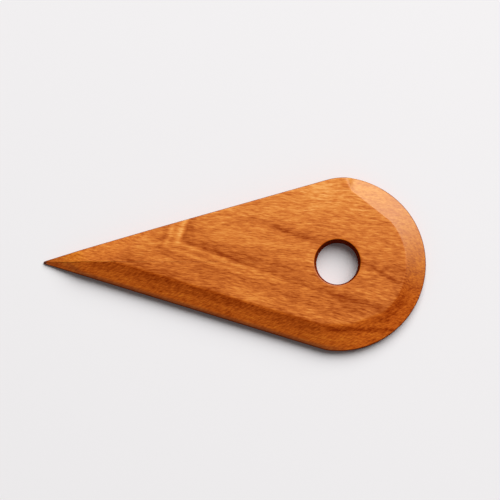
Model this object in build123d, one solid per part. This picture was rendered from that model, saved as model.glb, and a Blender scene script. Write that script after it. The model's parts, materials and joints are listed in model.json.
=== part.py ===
from build123d import *
from math import acos, asin, cos, degrees, radians, sin
import os

# Pottery rib: a flat hardwood teardrop with a finger hole and a bevel ground on one face.
# Millimetres. +X runs from the point to the round head, +Y to the square long edge, and +Z up out
# of the bevelled face. The flat back lies on Z = 0, with the origin under the middle of the box.

# The board
overall_length = 168.0
head_radius = 38.1
thickness = 8.0

# The two straight edges run a little inside the tangents to the head
square_edge_inset = 1.3
bevelled_edge_inset = 0.4
square_corner_round = 28.0
bevelled_corner_round = 10.0

# Rims eased with sandpaper, and what is left of the point's radius inside the easing
edge_round = 0.5
point_nose = 0.1

# The finger hole, a little back from the head's centre and above it
finger_hole_radius = 9.525
finger_hole_back = 0.7
finger_hole_up = 0.4

# The bevel along the lower edge and round the head, narrower at the nose by its shift
bevel_width = 9.63
bevel_nose_shift = 0.95
bevel_edge_height = 3.8
bevel_overrun = 3.0

# The flat at the upper corner of the head, with a steeper end where the bevel stops
run_out_facing_angle = 52.0
run_out_crest = 28.5
run_out_end_bearing_angle = 85.5
run_out_end_facing_angle = 20.0
run_out_end_fall_share = 0.7

# The facet that thins the upper side towards the point, and the steeper pair at the point itself
tail_facing_angle = 130.0
point_upper_facing_angle = 154.4
point_upper_fall_share = 0.346
point_lower_facing_angle = -126.7
point_lower_fall_share = 0.522
point_height = 0.95

# Where the two straight edges face
point_radius = point_nose + edge_round
reach = overall_length - head_radius - point_radius
square_edge_offset = head_radius - square_edge_inset
bevelled_edge_offset = head_radius - bevelled_edge_inset
square_edge_facing = 90 + degrees(asin((square_edge_offset - point_radius) / reach))
bevelled_edge_facing = -90 - degrees(asin((bevelled_edge_offset - point_radius) / reach))

# The square corner's round takes a little off the top of the head, so the middle line is not on Y = 0
corner_blend = head_radius - square_corner_round
corner_turn = acos((square_edge_offset - square_corner_round) / corner_blend)
top_of_head = square_corner_round + corner_blend * sin(radians(square_edge_facing) - corner_turn)
middle_line = (head_radius - top_of_head) / 2

# Places worked out from the sizes above
head = Vector(overall_length / 2 - head_radius, middle_line)
point = Vector(point_radius - overall_length / 2, middle_line)
hole_centre = head + Vector(-finger_hole_back, finger_hole_up)
bevel_centre = head + Vector(bevel_nose_shift, 0)
crest_radius = head_radius - bevel_width
bevel_fall = (thickness - bevel_edge_height) / bevel_width

# The lower edge's crest meets the middle line here, and the tail's facet keeps the ridge on it
lower_crest = crest_radius + bevel_nose_shift * cos(radians(bevelled_edge_facing))
lower_crest_lean = cos(radians(180 + bevelled_edge_facing))
tail_start = head - Vector(lower_crest / lower_crest_lean, 0)
tail_fall = bevel_fall * lower_crest_lean / cos(radians(180 - tail_facing_angle))


def toward(bearing):
    """The level direction of a bearing in degrees, counted from +X towards +Y."""
    return Vector(cos(radians(bearing)), sin(radians(bearing)))


def outline():
    """The teardrop: the head's arc, two straight edges and the small arc of the point."""
    square_corner = square_edge_facing - degrees(acos(square_edge_offset / head_radius))
    bevelled_corner = bevelled_edge_facing + degrees(acos(bevelled_edge_offset / head_radius))
    nose = head + head_radius * toward(0)
    head_top = head + head_radius * toward(square_corner)
    head_foot = head + head_radius * toward(bevelled_corner)
    point_top = point + point_radius * toward(square_edge_facing)
    point_foot = point + point_radius * toward(bevelled_edge_facing)
    point_end = point + point_radius * toward(180)
    edges = [
        ThreePointArc(head_foot, nose, head_top),
        Line(head_top, point_top),
        ThreePointArc(point_top, point_end, point_foot),
        Line(point_foot, head_foot),
    ]
    return make_face(edges)


def finger_hole():
    """The drill, longer than the board is thick."""
    middle = Location((hole_centre.X, hole_centre.Y, thickness / 2))
    return middle * Cylinder(finger_hole_radius, 2 * thickness)


def board():
    """The board before bevelling: sawn, its shallow corners sanded round, drilled and eased."""
    sawn = extrude(outline(), thickness)
    bevelled_corner = sawn.edges().filter_by(Axis.Z).sort_by(Axis.Y)[0]
    sawn = fillet(bevelled_corner, bevelled_corner_round)
    square_corner = sawn.edges().filter_by(Axis.Z).sort_by(Axis.Y)[-1]
    drilled = fillet(square_corner, square_corner_round) - finger_hole()
    rims = drilled.edges().filter_by(Axis.Z, reverse=True)
    return fillet(rims, edge_round)


def bevel_axis():
    """The upright line that the head's bevel turns round."""
    return Axis((bevel_centre.X, bevel_centre.Y, 0), (0, 0, 1))


def bevel_wedge(bearing):
    """A triangle across the bevel at a bearing, with the bevel's slope as its lower side."""
    back = bevel_centre.X + crest_radius - bevel_overrun
    front = bevel_centre.X + crest_radius + bevel_width + bevel_nose_shift + bevel_overrun
    high = thickness + bevel_overrun * bevel_fall
    low = high - (front - back) * bevel_fall
    triangle = make_face(Polyline((back, 0, high), (front, 0, high), (front, 0, low), close=True))
    return triangle.rotate(bevel_axis(), bearing)


def bevel_round_head(start_bearing, end_bearing):
    """What the grinder takes off round the head, from one bearing to another."""
    return revolve(bevel_wedge(start_bearing), bevel_axis(), end_bearing - start_bearing)


def room_above_slope(start, height, bearing, fall):
    """The room above a plane that passes a point at a height and falls along a bearing."""
    normal = Vector(0, 0, 1) + fall * toward(bearing)
    slope = Plane((start.X, start.Y, height), x_dir=toward(bearing + 90), z_dir=normal)
    upward = (Align.CENTER, Align.CENTER, Align.MIN)
    return slope * Box(2 * overall_length, 2 * overall_length, overall_length, align=upward)


def run_out():
    """The flat at the upper corner of the head, cut off by its steeper end."""
    flat_start = head + run_out_crest * toward(run_out_facing_angle)
    flat = room_above_slope(flat_start, thickness, run_out_facing_angle, bevel_fall)
    end_start = head + head_radius * toward(run_out_end_bearing_angle)
    end_facing = run_out_end_facing_angle
    end = room_above_slope(end_start, thickness, end_facing, run_out_end_fall_share)
    return flat & end


def edge_bevel():
    """The flat bevel along the lower edge."""
    to_the_point = toward(bevelled_edge_facing - 90)
    return extrude(bevel_wedge(bevelled_edge_facing), overall_length, dir=to_the_point)


def point_facets():
    """What is sanded off the upper side towards the point, and off both sides at the point."""
    point_end = point - Vector(point_radius, 0)
    upper_facing = point_upper_facing_angle
    lower_facing = point_lower_facing_angle
    tail = room_above_slope(tail_start, thickness, tail_facing_angle, tail_fall)
    upper = room_above_slope(point_end, point_height, upper_facing, point_upper_fall_share)
    lower = room_above_slope(point_end, point_height, lower_facing, point_lower_fall_share)
    return tail + upper + lower


def rib_blade():
    """The finished rib."""
    bevel = edge_bevel() + bevel_round_head(bevelled_edge_facing, run_out_facing_angle)
    return board() - bevel - run_out() - point_facets()


os.makedirs("parts", exist_ok=True)
export_step(rib_blade(), "parts/rib_blade.step")
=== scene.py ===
import json
from collections import namedtuple
from functools import reduce
from math import acos, asin, cos, degrees, radians, sin, tan

import bpy
import numpy as np
from mathutils import Matrix, Vector


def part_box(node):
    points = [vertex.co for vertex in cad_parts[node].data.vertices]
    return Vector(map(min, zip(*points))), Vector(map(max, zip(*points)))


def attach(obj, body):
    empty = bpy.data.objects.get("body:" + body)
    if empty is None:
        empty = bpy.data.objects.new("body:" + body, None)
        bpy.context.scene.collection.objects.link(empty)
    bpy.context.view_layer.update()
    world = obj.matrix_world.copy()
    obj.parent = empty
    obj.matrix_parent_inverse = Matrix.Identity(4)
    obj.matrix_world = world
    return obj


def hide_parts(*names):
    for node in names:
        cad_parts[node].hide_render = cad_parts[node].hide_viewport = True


# Pottery rib: a flat hardwood teardrop with a finger hole and a bevel ground on one face.
# Shapes are worked out in millimetres, with +X from the point to the round head, +Y to the square
# long edge and +Z up out of the bevelled face, and turned into metres where a mesh is made.

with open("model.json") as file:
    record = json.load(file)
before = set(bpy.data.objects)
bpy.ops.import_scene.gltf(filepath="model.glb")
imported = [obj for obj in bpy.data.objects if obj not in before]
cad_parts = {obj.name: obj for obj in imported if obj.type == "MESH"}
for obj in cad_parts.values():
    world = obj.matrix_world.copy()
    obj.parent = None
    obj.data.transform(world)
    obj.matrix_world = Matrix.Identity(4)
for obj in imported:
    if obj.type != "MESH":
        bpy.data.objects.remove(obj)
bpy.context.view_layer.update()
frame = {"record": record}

MM = 0.001

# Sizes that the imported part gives, and its head, which touches the box at its nose and its foot
head_radius = 38.1
lowest, highest = (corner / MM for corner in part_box("rib_blade"))
thickness = highest.z
head = np.array([highest.x - head_radius, lowest.y + head_radius])
hole_mount = next(mount for mount in frame["record"]["mounts"] if mount["name"] == "finger_hole")
hole_centre = np.array(hole_mount["pos_m"][:2]) / MM
hole_radius = hole_mount["dims"]["r_mm"]

# The outline: both straight edges run a little inside the tangents to the head
square_edge_inset = 1.3
bevelled_edge_inset = 0.4
square_corner_round = 28.0
bevelled_corner_round = 10.0
point_radius = 0.6
edge_round = 0.5

# The hole's rim, and how far its wall leans out from its lower to its upper rim
hole_edge_round = 0.6
hole_wall_lean = 0.8

# The bevel: how wide it is below, how much narrower at the nose, and how high its lower edge lies
bevel_width = 9.63
bevel_nose_shift = 0.95
bevel_edge_height = 3.8

# Two flats that the sanding left on the crest at the lower side of the head
flat_facings = (-90.0, -69.0)
flat_crests = (27.06, 27.2)

# The flat at the upper corner of the head, with a steeper end where the bevel stops
run_out_facing = 52.0
run_out_crest = 28.5
run_out_end_bearing = 85.5
run_out_end_facing = 20.0
run_out_end_fall = 0.7

# The facet that thins the upper side towards the point, and the steeper pair at the point itself
tail_facing = 130.0
point_upper_facing = 154.4
point_upper_fall = 0.346
point_lower_facing = -126.7
point_lower_fall = 0.522
point_height = 0.95

# How far the crest is rounded over: soft along the lower edge, and crisp at the top of the head,
# turning from the one to the other between two bearings
soft_crest = 0.30
crisp_crest = 0.05
crisping_bearings = (-15.0, 25.0)

# The waves that hand sanding leaves on what lies above a height, with how far the top is lowered
# so that they stay under the board's thickness
wavy_above = 1.0
room_for_waves = 0.02
long_wave_height = 0.012
long_wave_lengths = (9.1, 8.3)
long_wave_start = 0.7
long_wave_sway = 1.3
long_wave_sway_length = 11.7
short_wave_height = 0.004
short_wave_lengths = (3.7, 5.9)
cross_wave_lengths = (7.9, 3.1)
short_wave_start = 2.1

# How finely the mesh is cut
column_spacing = 0.7
corner_columns = 12
point_columns = 15
face_rows = 38
crest_rows = 13
bevel_rows = 20
rim_gathering = 1.6
back_rows = 14
round_rows = 6
wall_rows = 4

# How the crest is found and followed: places tried on each line, columns averaged, the half width
# of the band of close rows and the most of a line that it takes, and where a crest may lie
crest_places = 401
crest_averaging = 5
crest_band = 1.3
widest_band_share = 0.04
nearest_crest_share = 0.3
farthest_crest_share = 0.985
slope_step = 0.2


def toward(bearing):
    """The level direction of a bearing in degrees, counted from +X towards +Y."""
    return np.array([cos(radians(bearing)), sin(radians(bearing))])


def bearing_from(places, centre):
    """The bearings of many places from a centre, from -180 to 180 degrees."""
    away = places - centre
    return np.degrees(np.arctan2(away[..., 1], away[..., 0]))


def soft_lower(a, b, reach):
    """The lower of two heights, blended where they differ by less than the reach."""
    share = np.clip(0.5 + 0.5 * (b - a) / reach, 0, 1)
    return b + (a - b) * share - reach * share * (1 - share)


def soft_upper(a, b, reach):
    """The higher of two heights, blended where they differ by less than the reach."""
    return -soft_lower(-a, -b, reach)


# Places worked out from the sizes above
point = np.array([lowest.x + point_radius, head[1]])
point_end = point - np.array([point_radius, 0.0])
head_to_point = head[0] - point[0]
square_edge_offset = head_radius - square_edge_inset
bevelled_edge_offset = head_radius - bevelled_edge_inset
square_edge_facing = 90 + degrees(asin((square_edge_offset - point_radius) / head_to_point))
bevelled_edge_facing = -90 - degrees(asin((bevelled_edge_offset - point_radius) / head_to_point))
bevel_centre = head + np.array([bevel_nose_shift, 0.0])
crest_radius = head_radius - bevel_width
bevel_fall = (thickness - bevel_edge_height) / bevel_width
strip_crest = crest_radius + bevel_nose_shift * cos(radians(bevelled_edge_facing))
strip_run = cos(radians(180 + bevelled_edge_facing))
tail_start = head - np.array([strip_crest / strip_run, 0.0])
tail_fall = bevel_fall * strip_run / cos(radians(180 - tail_facing))


def outline():
    """Places round the edge, counterclockwise, each with its outward bearing."""
    upper_round = square_corner_round
    lower_round = bevelled_corner_round
    upper_blend = head_radius - upper_round
    lower_blend = head_radius - lower_round
    upper = square_edge_facing - degrees(acos((square_edge_offset - upper_round) / upper_blend))
    lower = bevelled_edge_facing + degrees(acos((bevelled_edge_offset - lower_round) / lower_blend))
    head_columns = round(radians(upper - lower) * head_radius / column_spacing)
    edge_columns = round(head_to_point / column_spacing)
    upper_centre = head + upper_blend * toward(upper)
    lower_centre = head + lower_blend * toward(lower)
    arcs = [
        (head, head_radius, lower, upper, head_columns),
        (upper_centre, upper_round, upper, square_edge_facing, corner_columns),
        (point, point_radius, square_edge_facing, bevelled_edge_facing + 360, point_columns),
        (lower_centre, lower_round, bevelled_edge_facing, lower, corner_columns),
    ]
    straight_after = (0, edge_columns, edge_columns, 0)
    places = []
    facings = []
    for turn, (centre, radius, start, end, columns) in enumerate(arcs):
        for facing in np.linspace(start, end, columns, endpoint=False):
            places.append(centre + radius * toward(facing))
            facings.append(facing)
        arc_end = centre + radius * toward(end)
        next_centre, next_radius, next_start = arcs[(turn + 1) % len(arcs)][:3]
        next_place = next_centre + next_radius * toward(next_start)
        for share in np.linspace(0, 1, straight_after[turn], endpoint=False):
            places.append(arc_end + share * (next_place - arc_end))
            facings.append(end)
    return np.array(places), np.array(facings)


def slope_height(places, start, facing, fall, height):
    """The height of a plane that passes a place at a height and falls along a bearing."""
    return height - fall * ((places - start) @ toward(facing))


def head_bevel_height(places, bearing):
    """The height of the bevel round the head, with its two sanded flats."""
    away = np.linalg.norm(places - bevel_centre, axis=-1)
    height = thickness - bevel_fall * (away - crest_radius)
    for facing, crest in zip(flat_facings, flat_crests):
        fall = (thickness - bevel_edge_height) / (head_radius - crest)
        flat = slope_height(places, head + crest * toward(facing), facing, fall, thickness)
        on_side = np.abs(bearing - facing) < 90
        height = np.where(on_side, soft_lower(height, flat, soft_crest), height)
    return height


def run_out_height(places, bearing, round_head):
    """The height at the upper corner of the head: the bevel, the flat and its steeper end."""
    flat_start = head + run_out_crest * toward(run_out_facing)
    flat = slope_height(places, flat_start, run_out_facing, bevel_fall, thickness)
    end_start = head + head_radius * toward(run_out_end_bearing)
    end = slope_height(places, end_start, run_out_end_facing, run_out_end_fall, thickness)
    before_flat = soft_lower(round_head, flat, crisp_crest)
    before_end = np.where(bearing < run_out_facing, before_flat, flat)
    return soft_upper(before_end, end, crisp_crest)


def edge_bevel_height(places):
    """The height of the flat bevel along the lower edge, down to the facet at the point."""
    strip_start = head + strip_crest * toward(bevelled_edge_facing)
    strip = slope_height(places, strip_start, bevelled_edge_facing, bevel_fall, thickness)
    at_point = slope_height(places, point_end, point_lower_facing, point_lower_fall, point_height)
    return soft_lower(strip, at_point, soft_crest)


def bevel_height(places):
    """The height of the bevel's surface, also where it lies above the top face."""
    bearing = bearing_from(places, bevel_centre)
    round_head = head_bevel_height(places, bearing)
    corner = run_out_height(places, bearing, round_head)
    on_corner = (bearing > 0) & (bearing < square_edge_facing)
    on_head = (bearing > bevelled_edge_facing) & (bearing < square_edge_facing)
    whole_head = np.where(on_corner, corner, round_head)
    return np.where(on_head, whole_head, edge_bevel_height(places))


def unevenness(places):
    """The slight waviness that hand sanding leaves, in millimetres."""
    x = places[..., 0]
    y = places[..., 1]
    sway = long_wave_sway * np.sin(y / long_wave_sway_length)
    along = np.sin(x / long_wave_lengths[0] + sway)
    across = np.sin(y / long_wave_lengths[1] + long_wave_start)
    short = np.sin(x / short_wave_lengths[0] + y / short_wave_lengths[1] + short_wave_start)
    cross = np.sin(y / cross_wave_lengths[1] - x / cross_wave_lengths[0])
    return long_wave_height * along * across + short_wave_height * short * cross


def face_height(places):
    """The height of the top's upper side: the flat face and its facets towards the point."""
    tail = slope_height(places, tail_start, tail_facing, tail_fall, thickness)
    at_point = slope_height(places, point_end, point_upper_facing, point_upper_fall, point_height)
    return soft_lower(soft_lower(thickness, tail, soft_crest), at_point, soft_crest)


def top_height(places):
    """The height of the finished top."""
    bearing = bearing_from(places, head)
    soft_until, crisp_from = crisping_bearings
    crispness = np.clip((bearing - soft_until) / (crisp_from - soft_until), 0, 1)
    crispness = crispness * (bearing < square_edge_facing)
    crest_blend = soft_crest + (crisp_crest - soft_crest) * crispness
    return soft_lower(face_height(places), bevel_height(places), crest_blend)


def crest_shares(inner, outer):
    """How far out the crest lies on each line from the hole to the rim, as a share of the line."""
    shares = np.linspace(0, 1, crest_places)
    places = inner[:, None] + shares[None, :, None] * (outer - inner)[:, None]
    below = bevel_height(places) < face_height(places)
    found = below.any(axis=1)
    columns = np.arange(len(inner))
    found_shares = shares[below.argmax(axis=1)][found]
    crest = np.interp(columns, columns[found], found_shares, period=len(inner))
    overlap = crest_averaging // 2
    around = np.concatenate([crest[-overlap:], crest, crest[:overlap]])
    return np.convolve(around, np.ones(crest_averaging) / crest_averaging, "valid")


def face_shares(crest, length):
    """Shares of each line from the hole to the rim, gathered on both sides of the crest."""
    band = np.minimum(crest_band / length, widest_band_share)
    crest = np.clip(crest, nearest_crest_share, farthest_crest_share - band)
    before = np.linspace(0, 1, face_rows, endpoint=False)
    across = np.linspace(-1, 1, crest_rows, endpoint=False)
    after = 1 - np.linspace(1, 0, bevel_rows) ** rim_gathering
    inside = (crest - band)[:, None] * before
    middle = crest[:, None] + band[:, None] * across
    outside = (crest + band)[:, None] + (1 - crest - band)[:, None] * after
    return np.concatenate([inside, middle, outside], axis=1)


def quarter(rows):
    """Angles in radians over a quarter turn, both ends included."""
    return np.linspace(0, np.pi / 2, rows)


def shares_between(rows):
    """Even shares of a way, without its start and its end."""
    return np.linspace(0, 1, rows + 2)[1:-1]


def blade_rings():
    """Rings of points, each as long as the outline, that wrap the whole rib once and close."""
    places, facings = outline()
    facing_way = np.stack([np.cos(np.radians(facings)), np.sin(np.radians(facings))], -1)
    hole_way = places - hole_centre
    hole_way = hole_way / np.linalg.norm(hole_way, axis=1, keepdims=True)
    upper_hole = hole_radius + hole_wall_lean / 2
    lower_hole = hole_radius - hole_wall_lean / 2
    rings = []

    def add(level_places, heights):
        heights = np.broadcast_to(heights, len(level_places))
        rings.append(np.column_stack([level_places, heights]))

    def add_hole(radius, height):
        add(hole_centre + radius * hole_way, height)

    # The hole, from its lower rim up its wall to its upper rim
    for turn in quarter(round_rows):
        add_hole(lower_hole + hole_edge_round * (1 - sin(turn)), hole_edge_round * (1 - cos(turn)))
    for share in shares_between(wall_rows):
        height = hole_edge_round + share * (thickness - 2 * hole_edge_round)
        add_hole(lower_hole + share * hole_wall_lean, height)
    for turn in quarter(round_rows)[:-1]:
        height = thickness - hole_edge_round * (1 - sin(turn))
        add_hole(upper_hole + hole_edge_round * (1 - cos(turn)), height)

    # Where the rounding of the outer rim starts on the top, and how the top is tilted there
    inside_rim = places - 2 * edge_round * facing_way
    rise = top_height(inside_rim - slope_step * facing_way) - top_height(inside_rim)
    tilt = np.arctan(np.clip(rise / slope_step, 0, None))
    rim_height = top_height(inside_rim) - 2 * edge_round * np.tan(tilt)
    arc_height = rim_height + edge_round * (np.tan(tilt) - 1 / np.cos(tilt))
    arc_height = np.maximum(arc_height, edge_round)
    arc_place = places - edge_round * facing_way
    rim_start = arc_place + edge_round * np.sin(tilt)[:, None] * facing_way

    # The top, from the hole's rim over the crest to the outer rim
    hole_rim = hole_centre + (upper_hole + hole_edge_round) * hole_way
    length = np.linalg.norm(rim_start - hole_rim, axis=1)
    shares = face_shares(crest_shares(hole_rim, rim_start), length)
    for share in shares.T[:-1]:
        level = hole_rim + share[:, None] * (rim_start - hole_rim)
        add(level, top_height(level))

    # The outer rim, the side under it, its lower rim, and the back up to the hole
    for share in np.linspace(1, 0, round_rows):
        turn = share * (np.pi / 2 - tilt)
        level = arc_place + edge_round * np.cos(turn)[:, None] * facing_way
        add(level, arc_height + edge_round * np.sin(turn))
    for share in shares_between(wall_rows):
        add(places, arc_height + share * (edge_round - arc_height))
    for turn in quarter(round_rows):
        add(places - edge_round * (1 - cos(turn)) * facing_way, edge_round * (1 - sin(turn)))
    back_end = hole_centre + (lower_hole + hole_edge_round) * hole_way
    for share in shares_between(back_rows):
        add(arc_place + share * (back_end - arc_place), 0.0)
    return np.array(rings)


def mesh_object(name, vertices, faces):
    """A smooth-shaded mesh object from points in millimetres."""
    mesh = bpy.data.meshes.new(name)
    mesh.from_pydata((vertices * MM).tolist(), [], faces)
    mesh.shade_smooth()
    mesh.update()
    made = bpy.data.objects.new(name, mesh)
    bpy.context.scene.collection.objects.link(made)
    return made


def wooden_blade():
    """The rib as one closed surface."""
    rings = blade_rings()
    ring_count, column_count = rings.shape[:2]
    number = np.arange(ring_count * column_count).reshape(ring_count, column_count)
    next_ring = np.roll(number, -1, axis=0)
    next_column = np.roll(number, -1, axis=1)
    beyond = np.roll(next_ring, -1, axis=1)
    faces = np.stack([number, next_column, beyond, next_ring], axis=-1).reshape(-1, 4)
    vertices = rings.reshape(-1, 3)
    height = vertices[:, 2]
    lift = unevenness(vertices[:, :2]) * np.clip(height - wavy_above, 0, 1)
    lowered = room_for_waves * (height > wavy_above)
    vertices[:, 2] = np.clip(height + lift - lowered, 0, thickness)
    return mesh_object("wooden_blade", vertices, faces.tolist())


blade = wooden_blade()
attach(blade, "root")
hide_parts("rib_blade")


# The sockets of a colour mix, whose names are shared by its other kinds
MIX_SHARE = 0
MIX_FIRST = 6
MIX_SECOND = 7
MIX_RESULT = 2

# A noise: how it is scaled along X, Y and Z, its size in millimetres, its finer layers and their
# strength
Pattern = namedtuple("Pattern", "scale size detail roughness", defaults=(2.0, 0.5))


class Graph:
    """The nodes of one material, with short calls for those that it needs."""

    def __init__(self, name):
        self.material = bpy.data.materials.new(name)
        self.material.use_nodes = True
        self.tree = self.material.node_tree
        self.tree.nodes.clear()

    def connect(self, value, socket):
        if isinstance(value, bpy.types.NodeSocket):
            self.tree.links.new(value, socket)
        else:
            socket.default_value = value

    def add(self, kind, inputs=(), **settings):
        node = self.tree.nodes.new("ShaderNode" + kind)
        for key, value in settings.items():
            setattr(node, key, value)
        for key, value in dict(inputs).items():
            self.connect(value, node.inputs[key])
        return node

    def finish(self, shader):
        output = self.add("OutputMaterial")
        self.connect(shader.outputs[0], output.inputs[0])
        return self.material

    def math(self, operation, *values):
        return self.add("Math", enumerate(values), operation=operation).outputs[0]

    def sum(self, *values):
        return reduce(lambda first, second: self.math("ADD", first, second), values)

    def product(self, *values):
        return reduce(lambda first, second: self.math("MULTIPLY", first, second), values)

    def swing(self, share, reach):
        """A share from 0 to 1 as a swing about zero."""
        return self.product(self.math("SUBTRACT", share, 0.5), reach)

    def vector(self, operation, *values):
        node = self.add("VectorMath", enumerate(values), operation=operation)
        return node.outputs["Value" if operation in ("DOT_PRODUCT", "LENGTH") else "Vector"]

    def split(self, value):
        return self.add("SeparateXYZ", {0: value}).outputs

    def noise(self, place, pattern):
        inputs = {
            "Vector": self.vector("MULTIPLY", place, pattern.scale),
            "Scale": 1 / pattern.size,
            "Detail": pattern.detail,
            "Roughness": pattern.roughness,
        }
        return self.add("TexNoise", inputs).outputs["Fac"]

    def range(self, value, low, high, to_low=0.0, to_high=1.0):
        """A value mapped from one span to another, and held at its ends."""
        inputs = {"From Min": low, "From Max": high, "To Min": to_low, "To Max": to_high}
        return self.add("MapRange", {"Value": value, **inputs}).outputs[0]

    def region(self, *spans):
        """How far a place lies in a region, whose edge each value crosses over its span."""
        return self.product(*(self.range(value, *span) for value, span in spans))

    def fade(self, region, left):
        """What is left of a pattern: all of it outside a region, and a part of it inside."""
        return self.range(region, 0, 1, 1, left)

    def ramp(self, value, stops):
        node = self.add("ValToRGB", {"Fac": value})
        elements = node.color_ramp.elements
        while len(elements) < len(stops):
            elements.new(0.5)
        for element, (position, colour) in zip(elements, stops):
            element.position = position
            element.color = (*colour, 1)
        return node.outputs["Color"]

    def mix(self, share, first, second):
        node = self.add("Mix", data_type="RGBA")
        self.connect(share, node.inputs[MIX_SHARE])
        for colour, socket in ((first, MIX_FIRST), (second, MIX_SECOND)):
            colour = (*colour, 1) if isinstance(colour, tuple) else colour
            self.connect(colour, node.inputs[socket])
        return node.outputs[MIX_RESULT]

    def tint(self, share, colour, factors):
        return self.mix(share, colour, self.vector("MULTIPLY", colour, factors))


def linear(red, green, blue):
    """A colour written as on a screen, from 0 to 255, as the linear values that a shader takes."""
    shares = [part / 255 for part in (red, green, blue)]
    return tuple(s / 12.92 if s <= 0.04045 else ((s + 0.055) / 1.055) ** 2.4 for s in shares)


def level_vector(direction):
    """A direction or place seen from above, at height zero."""
    return (*direction, 0)


# The growth rings lie almost level in the board and cut its face in long arches that point left
ring_rise = 3.8
lower_ring_slope = (0.351, 1.0, ring_rise)
upper_ring_slope = (0.81, -0.35, ring_rise)
lower_ring_start = -2.1
upper_ring_start = 21.3
arch_round = 3.0
slow_ring_drift = Pattern((0.5, 1, 1), 14, 1.0)
slow_ring_reach = 2.4
quick_ring_drift = Pattern((0.16, 1, 1), 1.3)
quick_ring_reach = 1.0

# How dark the wood is along the way across the rings, from 0 to 1
ring_marks = [
    (-40.0, 0.50), (-24.0, 0.50), (-19.0, 0.62), (-15.0, 0.50), (-11.0, 0.54), (-7.6, 0.70),
    (-6.0, 0.32), (-4.6, 0.58), (-2.6, 0.12), (-0.9, 0.88), (1.5, 0.74), (8.0, 0.52),
    (13.0, 0.44), (18.0, 0.48), (19.8, 0.98), (22.0, 0.74), (27.0, 0.52), (34.0, 0.44),
    (39.0, 0.52), (40.5, 0.82), (44.0, 0.58), (60.0, 0.50),
]
middle_ring = 0.55

# How strongly the rings show along X, and where less of them is left: in the lower middle, on the
# right of the hole, and at the upper edge beside the inner arch
ring_strength = (-5, 45, 0.85, 0.5)
lower_middle = ((-18, 8), (3, -6))
rings_left_in_lower_middle = 0.45
right_of_hole = (48, 58)
rings_left_right_of_hole = 0.3
upper_edge = ((-7, 1), (15, 21))
rings_left_at_upper_edge = 0.15

# Single growth lines: where each starts and ends, its half width, and how dark it is, or how pale
growth_lines = [
    ((20, -20.7), (44, -28.9), 1.2, 0.18),
    ((44, -28.9), (74, -28.8), 1.1, 0.3),
    ((37, -11.4), (64, -19.6), 1.7, 0.15),
    ((54, 2.4), (71, -8.3), 2.0, 0.3),
    ((-62, 5.1), (-24, -6.3), 4.0, 0.14),
    ((0, -12.4), (40, -24.4), 4.5, -0.2),
    ((44, -25.5), (63, -24.2), 4.0, -0.18),
    ((37, -29.5), (50, -31.0), 4.0, -0.15),
    ((47, -8.5), (67, -15.5), 4.0, -0.15),
    ((35, 32.5), (45, 32.0), 6.0, -0.22),
    ((-24, 7.4), (2, -0.6), 3.0, 0.13),
    ((-4, 17.0), (33, 11.0), 6.0, 0.14),
]
line_ripple = Pattern((0.3, 1, 1), 2.5)
line_ripple_reach = 3.0
line_shows_before = 4
line_whole_after = 1

# The fibres lie along X, lean a little, less so towards +Y, and wander
fibre_lean = 0.12
fibre_lean_change = -0.002
fibre_wander = Pattern((0.35, 1, 1), 9, 1.0)
fibre_wander_reach = 4.0
fine_streaks = Pattern((0.15, 1, 1), 0.52, 3.0, 0.65)
wide_streaks = Pattern((0.14, 1, 1), 2.4, 2.0, 0.55)
clouds = Pattern((0.6, 1, 0.6), 16)
pores = Pattern((0.12, 1, 1), 0.3, 1.0)

# Short flecks that lie aslant on the lower bevel, where it cuts across the fibres
fleck_bearing = 28.0
fleck_stretch = 0.3
flecks = Pattern((1, 1, 1), 0.7, 2.0, 0.6)
fleck_share = 0.5

# Parts of a normal over which a face counts as the lower bevel's, as the head's bevel that faces
# the light, paler partly for its end grain and partly from painted sheen, and as any bevel's
below_facing = (-0.05, -0.3)
end_grain_and_sheen_facing = (0.1, 0.38)
bevel_facing = (0.985, 0.95)

# How much each pattern changes the tone, which runs from 0 for the darkest to 1 for the palest
middle_tone = 0.425
streak_strength = 1.45
end_grain_streak_strength = 0.8
more_streak_below = 0.45
wide_streak_strength = 0.4
cloud_strength = 0.25
paler_upward = 0.0075

# How much paler the lower bevel is along X and up Z, and how dark the bevel's lower right is
below_along = (-78, 45, -0.1, 0.24)
below_upward = (5.6, 7.1, 0.07, -0.17)
lower_right = ((58, 70), (2, -12))
lower_right_tone = -0.2

# The colours of the tones from the darkest to the palest, the painted shade that darkens and
# saturates the lower bevel, which faces away from the light, and the paler, bluer tint of the
# head's bevel that faces the light, partly for its end grain and partly painted sheen
tone_colours = [(144, 54, 0), (177, 83, 4), (208, 108, 2), (230, 137, 28), (246, 168, 72)]
lower_bevel_shade_tint = (1.0, 0.78, 0.2)
end_grain_and_sheen_tint = (0.84, 0.98, 1.2)

# The painted shade at the rim of the lower bevel, where its eased edge and the side under it lie in
# shade: the heights over which it darkens, and its two ends along X
low_rim_shade_heights = (4.75, 4.1, 0, 0.75)
low_rim_shade_right = (50, 38)
low_rim_shade_left = (-75, -66)
low_rim_shade_colour = (112, 52, 20)

# The point darkens over its last millimetres and is nearly black at its end
near_point = (13, 1, 0, 0.55)
near_point_colour = (130, 44, 10)
at_point = (1.7, 0.9)
at_point_colour = (34, 16, 10)

# The sides are darker than the faces: where a normal's upright share falls from the one to the
# other, and between which distances outside the hole's radius its wall's colour ends
side_facing = (0.77, 0.885, 1, 0)
side_colour = (126, 54, 20)
hole_wall_colour = (122, 40, 10)
hole_wall_until = 1
side_from = 2

# The steeper end of the flat at the upper corner keeps the colour of the faces
run_out_end_way = (0.4, 0.55)
run_out_end_from = (33, 34)
run_out_end_upright = (0.5, 0.6)

# How rough and how shiny the wood is, by its streaks and its tone
bump_strength = 0.25
bump_depth = 0.06
pore_strength = 0.5
end_grain_relief = 0.4
roughness_by_streak = (0.3, 0.7, 0.50, 0.44)
shine_by_tone = (0.1, 0.9, 0.08, 0.7)
end_grain_shine = 0.62
wood_ior = 1.5


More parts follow.
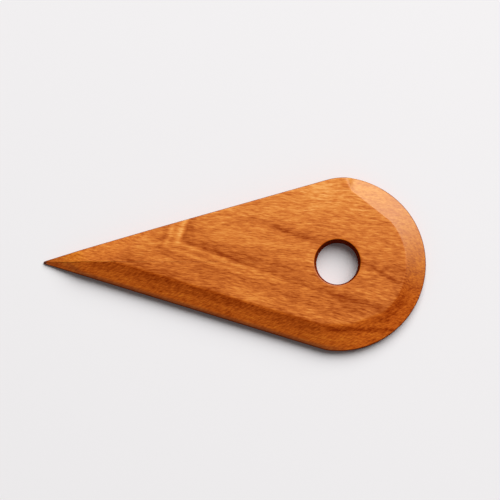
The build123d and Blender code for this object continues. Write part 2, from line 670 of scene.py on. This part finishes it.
class Surface:
    """What the wood's patterns go by at each place: where it lies and how it faces."""

    def __init__(self, graph):
        coordinates = graph.add("TexCoord").outputs
        self.place = graph.vector("MULTIPLY", coordinates["Object"], (1 / MM,) * 3)
        self.x, self.y, self.z = graph.split(self.place)
        self.normal = coordinates["Normal"]
        facing = graph.split(self.normal)
        self.upward = facing[2]
        self.uprightness = graph.math("ABSOLUTE", self.upward)
        self.below = graph.range(facing[1], *below_facing)
        to_corner = graph.vector("DOT_PRODUCT", self.normal, level_vector(toward(run_out_facing)))
        self.end_grain_and_sheen = graph.range(to_corner, *end_grain_and_sheen_facing)


def growth_rings(graph, place):
    """How far a place is across the growth rings, in millimetres along the face."""
    from_top = graph.vector("SUBTRACT", place, (0, 0, thickness))
    lower = graph.sum(graph.vector("DOT_PRODUCT", from_top, lower_ring_slope), lower_ring_start)
    upper = graph.sum(graph.vector("DOT_PRODUCT", from_top, upper_ring_slope), upper_ring_start)
    arch = graph.math("SMOOTH_MIN", lower, upper, arch_round)
    slow = graph.swing(graph.noise(place, slow_ring_drift), slow_ring_reach)
    quick = graph.swing(graph.noise(place, quick_ring_drift), quick_ring_reach)
    return graph.sum(arch, slow, quick)


def ring_darkness(graph, across):
    """How dark the wood is across its rings, from 0 to 1, each ring drawn as the board shows it."""
    low = ring_marks[0][0]
    high = ring_marks[-1][0]
    stops = [((mark - low) / (high - low), (grey,) * 3) for mark, grey in ring_marks]
    return graph.ramp(graph.range(across, low, high), stops)


def line_darkness(graph, x, y):
    """How much the single growth lines darken the wood."""
    lines = []
    for (start_x, start_y), (end_x, end_y), half_width, darkness in growth_lines:
        line_y = graph.range(x, start_x, end_x, start_y, end_y)
        away = graph.math("ABSOLUTE", graph.math("SUBTRACT", y, line_y))
        dark = graph.range(away, 0, half_width, darkness, 0)
        start = (start_x - line_shows_before, start_x + line_whole_after)
        end = (end_x + line_shows_before, end_x - line_whole_after)
        lines.append(graph.product(dark, graph.region((x, start), (x, end))))
    return graph.sum(*lines)


def level_distance(graph, place, centre):
    """How far a place lies from a centre, seen from above."""
    away = graph.vector("SUBTRACT", place, level_vector(centre))
    return graph.vector("LENGTH", graph.vector("MULTIPLY", away, (1, 1, 0)))


def fibres(graph, surface):
    """The place as the fibres see it, so that streaks along X follow their lean and wandering."""
    lean = graph.sum(graph.product(surface.y, fibre_lean_change), fibre_lean)
    wander = graph.product(graph.noise(surface.place, fibre_wander), fibre_wander_reach)
    sideways = graph.sum(wander, graph.product(lean, surface.x))
    shift = graph.add("CombineXYZ", {1: sideways}).outputs[0]
    return graph.vector("ADD", surface.place, shift)


def streaks(graph, surface, fibre_place):
    """Fine streaks along the fibres, mixed with slanting flecks on the lower bevel."""
    streak = graph.noise(fibre_place, fine_streaks)
    fleck_along = level_vector(fleck_stretch * toward(fleck_bearing))
    fleck_across = level_vector(toward(fleck_bearing + 90))
    along = graph.vector("DOT_PRODUCT", surface.place, fleck_along)
    across = graph.vector("DOT_PRODUCT", surface.place, fleck_across)
    fleck_place = graph.add("CombineXYZ", {0: along, 1: across}).outputs[0]
    to_fleck = graph.math("SUBTRACT", graph.noise(fleck_place, flecks), streak)
    return graph.sum(streak, graph.product(to_fleck, surface.below, fleck_share))


def ring_tone(graph, surface):
    """How much the growth rings and the single growth lines change the tone."""
    x = surface.x
    y = surface.y
    in_lower_middle = graph.region((x, lower_middle[0]), (y, lower_middle[1]))
    at_upper_edge = graph.region((x, upper_edge[0]), (y, upper_edge[1]))
    strength = graph.product(
        graph.range(x, *ring_strength),
        graph.fade(in_lower_middle, rings_left_in_lower_middle),
        graph.range(x, *right_of_hole, 1, rings_left_right_of_hole),
        graph.fade(at_upper_edge, rings_left_at_upper_edge),
    )
    ring = ring_darkness(graph, growth_rings(graph, surface.place))
    rings = graph.product(graph.math("SUBTRACT", middle_ring, ring), strength)
    ripple = graph.swing(graph.noise(surface.place, line_ripple), line_ripple_reach)
    lines = line_darkness(graph, x, graph.sum(y, ripple))
    return graph.math("SUBTRACT", rings, lines)


def bevel_tone(graph, surface):
    """How much the tone changes along and across the lower bevel."""
    along = graph.range(surface.x, *below_along)
    upward = graph.range(surface.z, *below_upward)
    on_lower_right = graph.region(
        (surface.x, lower_right[0]), (surface.y, lower_right[1]), (surface.upward, bevel_facing)
    )
    below = graph.product(surface.below, graph.sum(along, upward))
    return graph.sum(below, graph.product(on_lower_right, lower_right_tone))


def wood_tone(graph, surface, fibre_place, streak):
    """How pale the wood is, from 0 to 1."""
    end_grain_and_sheen = surface.end_grain_and_sheen
    strength = graph.range(end_grain_and_sheen, 0, 1, streak_strength, end_grain_streak_strength)
    strength = graph.sum(strength, graph.product(surface.below, more_streak_below))
    return graph.sum(
        graph.swing(streak, strength),
        graph.swing(graph.noise(fibre_place, wide_streaks), wide_streak_strength),
        graph.swing(graph.noise(surface.place, clouds), cloud_strength),
        graph.product(surface.y, paler_upward),
        ring_tone(graph, surface),
        bevel_tone(graph, surface),
        middle_tone,
    )


def face_colour(graph, surface, tone):
    """The colour of the faces: the tone's, with painted shade on the lower bevel and at its rim, a
    paler tint on the head's lit bevel that is partly end grain and partly painted sheen, and dark
    at the point.
    """
    last = len(tone_colours) - 1
    stops = [(step / last, linear(*colour)) for step, colour in enumerate(tone_colours)]
    colour = graph.ramp(tone, stops)
    # painted shade: the lower bevel, which faces away from the light, is darkened and saturated
    colour = graph.tint(surface.below, colour, lower_bevel_shade_tint)
    # painted sheen: the head's bevel that faces the light is tinted paler and bluer, partly for its
    # end grain
    colour = graph.tint(surface.end_grain_and_sheen, colour, end_grain_and_sheen_tint)
    # painted shade: the lower bevel darkens towards its rim, where the eased edge is in shade
    low_rim_shade = graph.region(
        (surface.z, low_rim_shade_heights), (surface.x, low_rim_shade_right), (surface.x, low_rim_shade_left)
    )
    low_rim_shade = graph.product(surface.below, low_rim_shade)
    colour = graph.mix(low_rim_shade, colour, linear(*low_rim_shade_colour))
    from_point = level_distance(graph, surface.place, point_end)
    colour = graph.mix(graph.range(from_point, *near_point), colour, linear(*near_point_colour))
    return graph.mix(graph.range(from_point, *at_point), colour, linear(*at_point_colour))


def side_share(graph, surface):
    """How far a place belongs to the sides rather than to the faces."""
    to_end = graph.vector("DOT_PRODUCT", surface.normal, level_vector(toward(run_out_end_facing)))
    on_end = graph.region(
        (to_end, run_out_end_way),
        (surface.y, run_out_end_from),
        (surface.uprightness, run_out_end_upright),
    )
    return graph.product(graph.range(surface.uprightness, *side_facing), graph.fade(on_end, 0))


def wall_colour(graph, surface):
    """The colour of the sides, redder in the hole."""
    from_hole = level_distance(graph, surface.place, hole_centre)
    outside = graph.range(from_hole, hole_radius + hole_wall_until, hole_radius + side_from)
    return graph.mix(outside, linear(*hole_wall_colour), linear(*side_colour))


def wood(name):
    """Oiled, fine-grained hardwood with fibres along X, dark where the saw charred its sides, with
    painted shade on its lower bevel and painted sheen on the head's bevel that faces the light.
    """
    graph = Graph(name)
    surface = Surface(graph)
    fibre_place = fibres(graph, surface)
    streak = streaks(graph, surface, fibre_place)
    tone = wood_tone(graph, surface, fibre_place, streak)
    on_side = side_share(graph, surface)
    colour = face_colour(graph, surface, tone)

    relief = graph.sum(graph.product(graph.noise(fibre_place, pores), pore_strength), streak)
    relief = graph.product(relief, graph.fade(surface.end_grain_and_sheen, end_grain_relief))
    bump_inputs = {"Strength": bump_strength, "Distance": bump_depth * MM, "Height": relief}
    shine = graph.range(tone, *shine_by_tone)
    to_even = graph.math("SUBTRACT", end_grain_shine, shine)
    shine = graph.sum(shine, graph.product(to_even, surface.end_grain_and_sheen))
    shader = graph.add("BsdfPrincipled", {
        "Base Color": graph.mix(on_side, colour, wall_colour(graph, surface)),
        "Roughness": graph.range(streak, *roughness_by_streak),
        "Normal": graph.add("Bump", bump_inputs).outputs[0],
        "IOR": wood_ior,
        "Specular IOR Level": graph.product(shine, graph.fade(on_side, 0)),
    })
    return graph.finish(shader)


blade.data.materials.append(wood("oiled_wood"))


# The camera: nearly straight above, leaning a little towards the lower side and the head
camera_lean_down = 5.5
camera_lean_right = 1.0
camera_turn = 0.385
camera_distance = 1500.0
camera_near = 10.0
camera_far = 20000.0
sensor_width = 36.0
picture_width = 500
picture_centre = (6.8, 6.4)
millimetres_per_pixel = 0.44


def place_camera():
    """The photograph's view, from far off."""
    camera = bpy.data.objects.new("camera", bpy.data.cameras.new("camera"))
    bpy.context.scene.collection.objects.link(camera)
    lean = (tan(radians(camera_lean_right)), -tan(radians(camera_lean_down)), 1)
    back = Vector(lean).normalized()
    up = back.cross(Vector(level_vector(toward(camera_turn)))).normalized()
    turn = Matrix((up.cross(back), up, back)).transposed()
    camera.location = (Vector(level_vector(picture_centre)) + back * camera_distance) * MM
    camera.rotation_euler = turn.to_euler()
    camera.data.sensor_width = sensor_width
    camera.data.lens = sensor_width * camera_distance / (picture_width * millimetres_per_pixel)
    camera.data.clip_start = camera_near * MM
    camera.data.clip_end = camera_far * MM
    bpy.context.scene.camera = camera


place_camera()


# The light: a large soft window of light beyond the upper right, and a dim even room
light_bearing = 62.0
light_elevation = 45.0
light_distance = 5000.0
light_side = 5500.0
light_power = 402.0
room_light = 0.13


def place_light():
    """The one large soft light, aimed at the rib."""
    lamp = bpy.data.lights.new("window", "AREA")
    lamp.shape = "DISK"
    lamp.size = light_side * MM
    lamp.energy = light_power
    holder = bpy.data.objects.new("window", lamp)
    bpy.context.scene.collection.objects.link(holder)
    level_way = toward(light_bearing) * cos(radians(light_elevation))
    way = Vector((*level_way, sin(radians(light_elevation))))
    holder.location = way * light_distance * MM
    holder.rotation_euler = way.to_track_quat("Z", "Y").to_euler()


def light_room():
    """An even, dim world that fills the shadows."""
    world = bpy.data.worlds.new("room")
    bpy.context.scene.world = world
    world.use_nodes = True
    background = world.node_tree.nodes["Background"]
    background.inputs["Color"].default_value = (1, 1, 1, 1)
    background.inputs["Strength"].default_value = room_light


floor_reach = 3000.0
floor_colour = (238, 236, 237)


def lay_floor():
    """The pale plain surface under the rib."""
    corners = [(-1, -1, 0), (1, -1, 0), (1, 1, 0), (-1, 1, 0)]
    floor = mesh_object("floor", floor_reach * np.array(corners), [(0, 1, 2, 3)])
    graph = Graph("floor")
    shader = graph.add("BsdfDiffuse", {"Color": (*linear(*floor_colour), 1)})
    floor.data.materials.append(graph.finish(shader))


place_light()
light_room()
lay_floor()
bpy.context.scene.view_settings.view_transform = "Standard"
